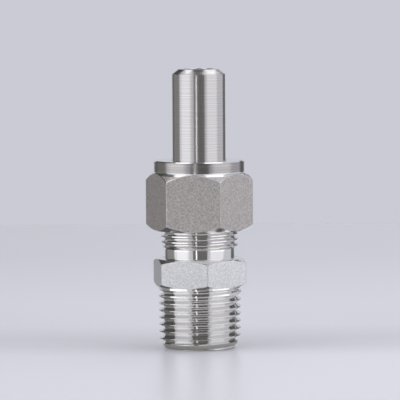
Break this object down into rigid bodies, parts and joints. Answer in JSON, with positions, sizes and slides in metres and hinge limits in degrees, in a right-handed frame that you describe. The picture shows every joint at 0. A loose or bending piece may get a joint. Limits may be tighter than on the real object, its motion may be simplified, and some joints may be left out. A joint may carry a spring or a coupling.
{
  "type": "butt weld male connector",
  "caption": "Stainless pipe connector: taper male thread, hexagon body, union nut and a bevelled weld stub on one axis.",
  "frame": {"origin": "centre of the pipe thread's end face, which the part stands on", "axes": "+Z along the common axis from the pipe thread to the weld end; the picture looks along +Y with +X to the right"},
  "size_m": [0.0274, 0.0256, 0.0717],
  "materials": {
    "turned_steel": "turned stainless steel",
    "satin_steel": "satin stainless steel",
    "blasted_steel": "matt blasted stainless steel"
  },
  "bodies": {
    "body": {"connector_body": "satin_steel"},
    "nipple": {"weld_nipple": "turned_steel"},
    "nut": {"union_nut": "blasted_steel"}
  },
  "joints": [
    {"name": "nipple_lift", "type": "slide", "parent": "body", "child": "nipple", "axis": [0, 0, 1], "range_m": [0, 0.009]},
    {"name": "nut_turn", "type": "hinge", "parent": "nipple", "child": "nut", "pos_m": [0, 0, 0.04], "axis": [0, 0, 1], "range_deg": [0, 2160]}
  ],
  "couplings": [
    {"joint": "nut_turn", "follows": "nipple_lift", "rad_per_m": 4188.8}
  ]
}
